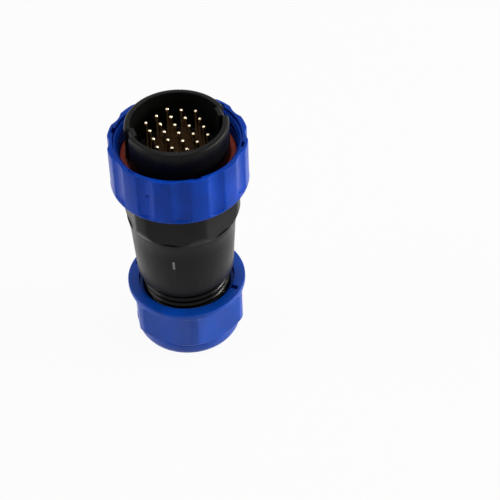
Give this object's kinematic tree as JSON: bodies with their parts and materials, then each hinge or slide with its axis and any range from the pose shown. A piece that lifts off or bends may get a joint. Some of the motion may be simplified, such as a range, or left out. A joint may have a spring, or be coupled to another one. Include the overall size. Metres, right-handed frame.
{
  "type": "circular connector",
  "caption": "Round screw-coupled cable plug with a keyed nose of pin contacts, a fluted coupling ring that turns freely and a hexagonal cable gland nut.",
  "frame": {"origin": "centre of the gland nut's foot, on the surface that the plug stands on", "axes": "+Z along the plug's axis towards the pins, +X through the main key"},
  "size_m": [0.0378, 0.0378, 0.0758],
  "materials": {
    "grip_blue": "satin moulded nylon",
    "gland_blue": "satin moulded nylon",
    "shell_black": "satin moulded nylon",
    "insert_black": "matte moulded plastic",
    "seal_red": "matte silicone",
    "rubber_black": "matte rubber",
    "contact_gold": "gold plated"
  },
  "bodies": {
    "shell": {"front_shell": "shell_black", "face_seal": "seal_red", "contact_insert": "insert_black", "insert_retainer": "insert_black", "shell_o_ring": "rubber_black", "back_shell": "shell_black", "cable_grommet": "rubber_black", "contact_01": "contact_gold", "contact_02": "contact_gold", "contact_03": "contact_gold", "contact_04": "contact_gold", "contact_05": "contact_gold", "contact_06": "contact_gold", "contact_07": "contact_gold", "contact_08": "contact_gold", "contact_09": "contact_gold", "contact_10": "contact_gold", "contact_11": "contact_gold", "contact_12": "contact_gold", "contact_13": "contact_gold", "contact_14": "contact_gold", "contact_15": "contact_gold", "contact_16": "contact_gold", "contact_17": "contact_gold", "contact_18": "contact_gold", "contact_19": "contact_gold", "contact_20": "contact_gold", "contact_21": "contact_gold", "contact_22": "contact_gold", "contact_23": "contact_gold", "contact_24": "contact_gold"},
    "coupling": {"coupling_ring": "grip_blue", "coupling_nut": "grip_blue"},
    "gland_carriage": {"thrust_ring": "insert_black"},
    "gland": {"gland_nut": "gland_blue"}
  },
  "joints": [
    {"name": "coupling_turn", "type": "hinge", "parent": "shell", "child": "coupling", "pos_m": [0, 0, 0.0633], "axis": [0, 0, 1], "continuous": true},
    {"name": "gland_advance", "type": "slide", "parent": "shell", "child": "gland_carriage", "axis": [0, 0, 1], "range_m": [-0.0061, 0.0049]},
    {"name": "gland_turn", "type": "hinge", "parent": "gland_carriage", "child": "gland", "pos_m": [0, 0, 0.0094], "axis": [0, 0, 1], "range_deg": [-1080, 864]}
  ],
  "couplings": [
    {"joint": "gland_advance", "follows": "gland_turn", "m_per_rad": 0.00031831}
  ]
}
